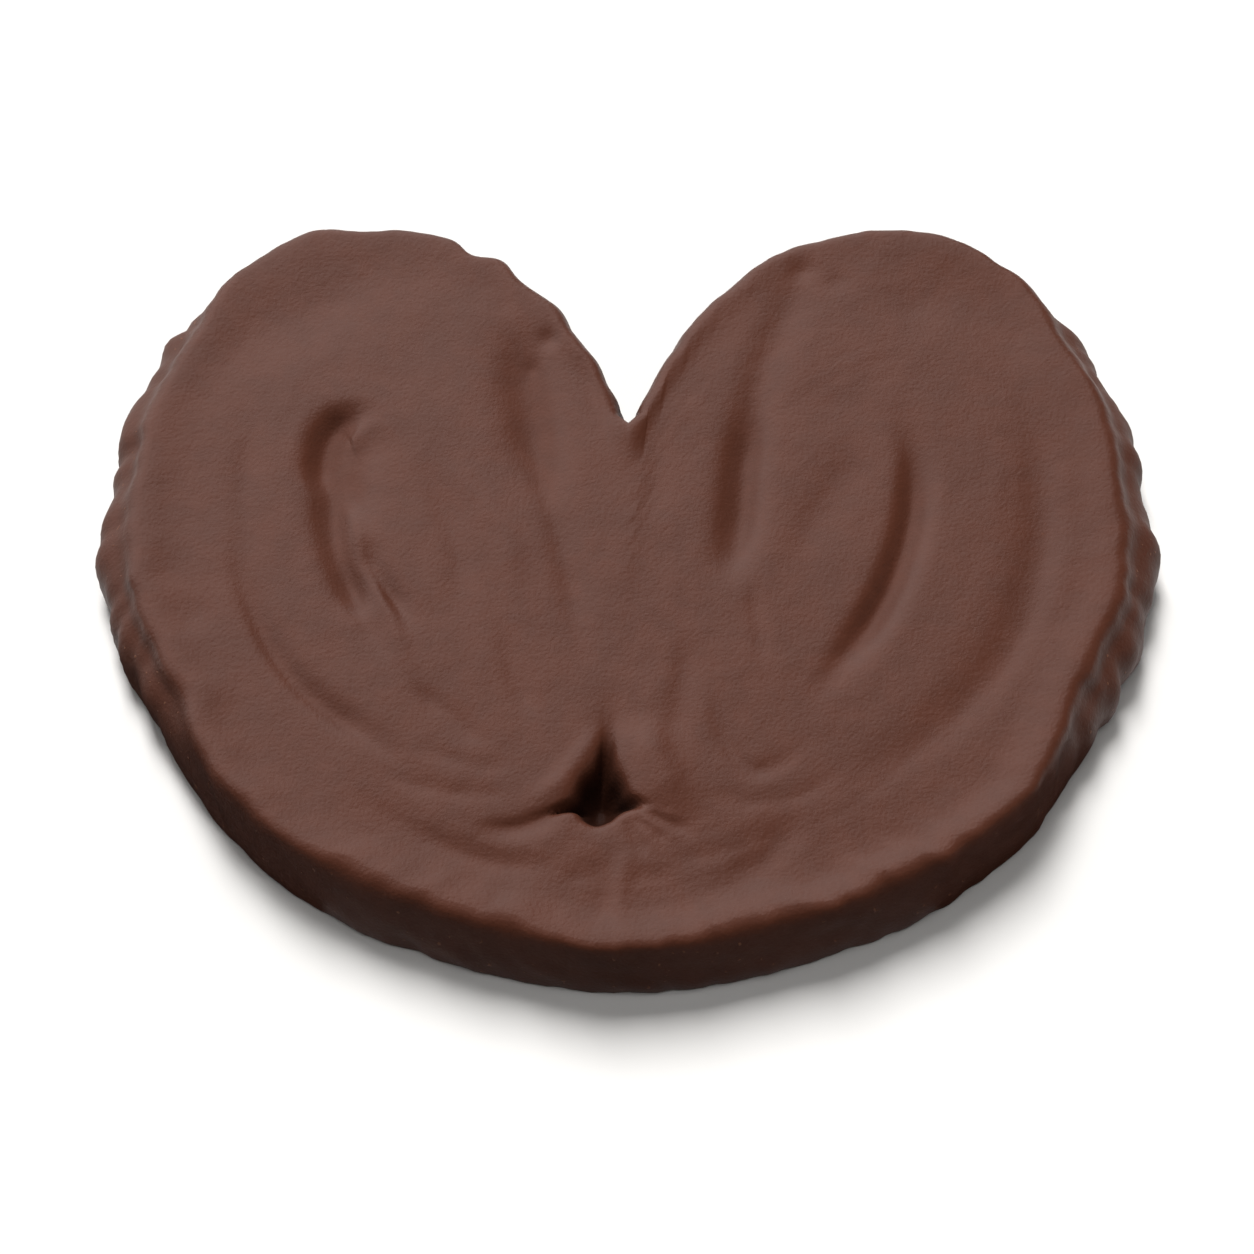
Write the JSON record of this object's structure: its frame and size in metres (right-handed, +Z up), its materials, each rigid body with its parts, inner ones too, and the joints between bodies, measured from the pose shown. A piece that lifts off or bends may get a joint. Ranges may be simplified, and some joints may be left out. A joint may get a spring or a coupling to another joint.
{
  "type": "palmier pastry",
  "caption": "Flat heart-shaped palmier pastry rolled from both ends and coated all over in chocolate.",
  "frame": {"origin": "centre of the plan's bounding box, on the underside that the pastry lies on", "axes": "+X across both lobes, -Y towards the rounded front edge with the pit, +Y towards the notch between the lobes, +Z up"},
  "size_m": [0.13, 0.1036, 0.0109],
  "materials": {
    "chocolate": "satin milk-brown chocolate coating over puff pastry"
  },
  "bodies": {
    "root": {"palmier": "chocolate"}
  },
  "joints": []
}
